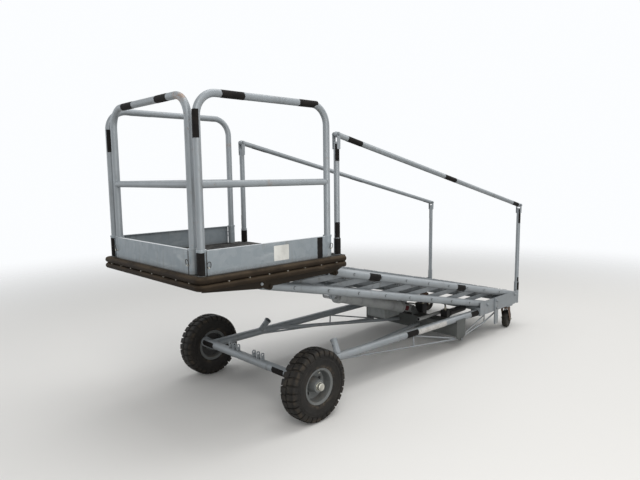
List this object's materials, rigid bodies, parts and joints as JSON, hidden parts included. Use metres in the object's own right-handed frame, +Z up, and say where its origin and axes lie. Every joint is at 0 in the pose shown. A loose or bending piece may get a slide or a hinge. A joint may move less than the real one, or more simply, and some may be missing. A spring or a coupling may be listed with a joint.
{
  "type": "aircraft maintenance platform",
  "caption": "Hooped work platform on a parallelogram stair, lifted by a hand-pumped hydraulic cylinder over a two-wheeled tubular base with swivel casters.",
  "frame": {"origin": "on the ground, below the middle of the lowered platform and stair's overall box", "axes": "+X from the stair's foot towards the platform, +Y to the platform's left, +Z up"},
  "size_m": [3.7737, 1.35, 2.0154],
  "materials": {
    "frame_paint": "aluminium paint, satin, weathered",
    "galvanised": "mottled zinc, dull",
    "dark_paint": "dark brown-black paint, dull",
    "skirt_paint": "dark olive-brown paint, dull",
    "bumper_rubber": "dusty extruded rubber",
    "antislip": "dark anti-slip coating",
    "tread_grip": "dark grit on grey sheet",
    "tyre": "dusty black rubber",
    "rim_paint": "grey paint, satin",
    "caster_rubber": "black solid rubber",
    "rusty_steel": "rusted plating",
    "cylinder_paint": "grey paint, oily",
    "chrome_rod": "polished, oily",
    "tank_paint": "light grey paint",
    "black_parts": "black, satin",
    "hose_rubber": "black hose"
  },
  "bodies": {
    "base": {"axle_beam": "frame_paint", "axle_knuckle_left": "frame_paint", "axle_knuckle_right": "frame_paint", "main_tube_left": "frame_paint", "main_tube_right": "frame_paint", "side_channel_left": "frame_paint", "side_channel_right": "frame_paint", "cross_beam": "dark_paint", "brace_left": "frame_paint", "brace_right": "frame_paint", "truss_left": "frame_paint", "truss_right": "frame_paint", "tie_tube": "frame_paint", "oil_tank": "tank_paint", "hand_pump": "black_parts", "valve_block": "black_parts", "pump_hose": "hose_rubber", "tank_hose": "hose_rubber", "bottom_step": "tread_grip", "parking_leg_left": "frame_paint", "parking_leg_right": "frame_paint", "rear_post_left": "frame_paint", "rear_post_right": "frame_paint"},
    "upper_stair_tubes": {"stair_tube_upper_left": "frame_paint", "stair_tube_upper_right": "frame_paint"},
    "lower_stair_tubes": {"stair_tube_lower_left": "frame_paint", "stair_tube_lower_right": "frame_paint", "crosshead": "frame_paint"},
    "platform": {"deck_frame": "skirt_paint", "deck_plate": "antislip", "toe_board_left": "galvanised", "toe_board_right": "galvanised", "toe_board_front": "galvanised", "bumper": "bumper_rubber", "hoop_front": "frame_paint", "hoop_left": "frame_paint", "hoop_right": "frame_paint", "front_post_left": "frame_paint", "front_post_right": "frame_paint"},
    "cylinder": {"cylinder_barrel": "cylinder_paint"},
    "piston": {"piston_rod": "chrome_rod"},
    "tread_1": {"tread_1": "tread_grip"},
    "tread_2": {"tread_2": "tread_grip"},
    "tread_3": {"tread_3": "tread_grip"},
    "tread_4": {"tread_4": "tread_grip"},
    "tread_5": {"tread_5": "tread_grip"},
    "tread_6": {"tread_6": "tread_grip"},
    "tread_7": {"tread_7": "tread_grip"},
    "tread_8": {"tread_8": "tread_grip"},
    "wheel_left": {"rim_left": "rim_paint", "tyre_left": "tyre"},
    "caster_left": {"caster_fork_left": "rusty_steel"},
    "caster_wheel_left": {"caster_wheel_left": "caster_rubber"},
    "handrail_left": {"handrail_left": "frame_paint"},
    "wheel_right": {"rim_right": "rim_paint", "tyre_right": "tyre"},
    "caster_right": {"caster_fork_right": "rusty_steel"},
    "caster_wheel_right": {"caster_wheel_right": "caster_rubber"},
    "handrail_right": {"handrail_right": "frame_paint"}
  },
  "joints": [
    {"name": "lift", "type": "hinge", "parent": "base", "child": "upper_stair_tubes", "pos_m": [-1.80184, 0, 0.335], "axis": [0, -1, 0], "range_deg": [0, 26]},
    {"name": "lower_tubes_hinge", "type": "hinge", "parent": "base", "child": "lower_stair_tubes", "pos_m": [-1.24785, 0, 0.327], "axis": [0, -1, 0], "range_deg": [-0.5, 26.5]},
    {"name": "platform_hinge", "type": "hinge", "parent": "upper_stair_tubes", "child": "platform", "pos_m": [0.8319, 0, 0.92033], "axis": [0, -1, 0], "range_deg": [-26.5, 0.5]},
    {"name": "tread_1_hinge", "type": "hinge", "parent": "upper_stair_tubes", "child": "tread_1", "pos_m": [-1.50128, 0, 0.4018], "axis": [0, -1, 0], "range_deg": [-26.5, 0.5]},
    {"name": "tread_2_hinge", "type": "hinge", "parent": "upper_stair_tubes", "child": "tread_2", "pos_m": [-1.20071, 0, 0.4686], "axis": [0, -1, 0], "range_deg": [-26.5, 0.5]},
    {"name": "tread_3_hinge", "type": "hinge", "parent": "upper_stair_tubes", "child": "tread_3", "pos_m": [-0.90014, 0, 0.5354], "axis": [0, -1, 0], "range_deg": [-26.5, 0.5]},
    {"name": "tread_4_hinge", "type": "hinge", "parent": "upper_stair_tubes", "child": "tread_4", "pos_m": [-0.59958, 0, 0.6022], "axis": [0, -1, 0], "range_deg": [-26.5, 0.5]},
    {"name": "tread_5_hinge", "type": "hinge", "parent": "upper_stair_tubes", "child": "tread_5", "pos_m": [-0.29901, 0, 0.669], "axis": [0, -1, 0], "range_deg": [-26.5, 0.5]},
    {"name": "tread_6_hinge", "type": "hinge", "parent": "upper_stair_tubes", "child": "tread_6", "pos_m": [0.00155, 0, 0.73579], "axis": [0, -1, 0], "range_deg": [-26.5, 0.5]},
    {"name": "tread_7_hinge", "type": "hinge", "parent": "upper_stair_tubes", "child": "tread_7", "pos_m": [0.30212, 0, 0.80259], "axis": [0, -1, 0], "range_deg": [-26.5, 0.5]},
    {"name": "tread_8_hinge", "type": "hinge", "parent": "upper_stair_tubes", "child": "tread_8", "pos_m": [0.60269, 0, 0.86939], "axis": [0, -1, 0], "range_deg": [-26.5, 0.5]},
    {"name": "handrail_left_hinge", "type": "hinge", "parent": "base", "child": "handrail_left", "pos_m": [-1.86384, 0.523, 1.237], "axis": [0, -1, 0], "range_deg": [-0.5, 26.5]},
    {"name": "handrail_right_hinge", "type": "hinge", "parent": "base", "child": "handrail_right", "pos_m": [-1.86384, -0.523, 1.237], "axis": [0, -1, 0], "range_deg": [-0.5, 26.5]},
    {"name": "cylinder_hinge", "type": "hinge", "parent": "base", "child": "cylinder", "pos_m": [-0.75884, 0, 0.29], "axis": [0, -1, 0], "range_deg": [-1, 35.38]},
    {"name": "piston_slide", "type": "slide", "parent": "cylinder", "child": "piston", "axis": [0.9618, 0, 0.2736], "range_m": [-0.003, 0.1384]},
    {"name": "wheel_left_spin", "type": "hinge", "parent": "base", "child": "wheel_left", "pos_m": [1.08116, 0.605, 0.235], "axis": [0, 1, 0], "continuous": true},
    {"name": "caster_left_swivel", "type": "hinge", "parent": "base", "child": "caster_left", "pos_m": [-1.69884, 0.495, 0.2], "axis": [0, 0, 1], "continuous": true},
    {"name": "caster_wheel_left_spin", "type": "hinge", "parent": "caster_left", "child": "caster_wheel_left", "pos_m": [-1.74286, 0.48564, 0.089], "axis": [-0.2079, 0.9781, 0], "continuous": true},
    {"name": "wheel_right_spin", "type": "hinge", "parent": "base", "child": "wheel_right", "pos_m": [1.08116, -0.605, 0.235], "axis": [0, 1, 0], "continuous": true},
    {"name": "caster_right_swivel", "type": "hinge", "parent": "base", "child": "caster_right", "pos_m": [-1.69884, -0.495, 0.2], "axis": [0, 0, 1], "continuous": true},
    {"name": "caster_wheel_right_spin", "type": "hinge", "parent": "caster_right", "child": "caster_wheel_right", "pos_m": [-1.74286, -0.48564, 0.089], "axis": [0.2079, 0.9781, 0], "continuous": true}
  ],
  "couplings": [
    {"joint": "lower_tubes_hinge", "follows": "lift", "ratio": 1},
    {"joint": "platform_hinge", "follows": "lift", "ratio": -1},
    {"joint": "tread_1_hinge", "follows": "lift", "ratio": -1},
    {"joint": "tread_2_hinge", "follows": "lift", "ratio": -1},
    {"joint": "tread_3_hinge", "follows": "lift", "ratio": -1},
    {"joint": "tread_4_hinge", "follows": "lift", "ratio": -1},
    {"joint": "tread_5_hinge", "follows": "lift", "ratio": -1},
    {"joint": "tread_6_hinge", "follows": "lift", "ratio": -1},
    {"joint": "tread_7_hinge", "follows": "lift", "ratio": -1},
    {"joint": "tread_8_hinge", "follows": "lift", "ratio": -1},
    {"joint": "handrail_left_hinge", "follows": "lift", "ratio": 1},
    {"joint": "handrail_right_hinge", "follows": "lift", "ratio": 1},
    {"joint": "cylinder_hinge", "follows": "lift", "ratio": 1.3222},
    {"joint": "piston_slide", "follows": "lift", "m_per_rad": 0.29608}
  ]
}
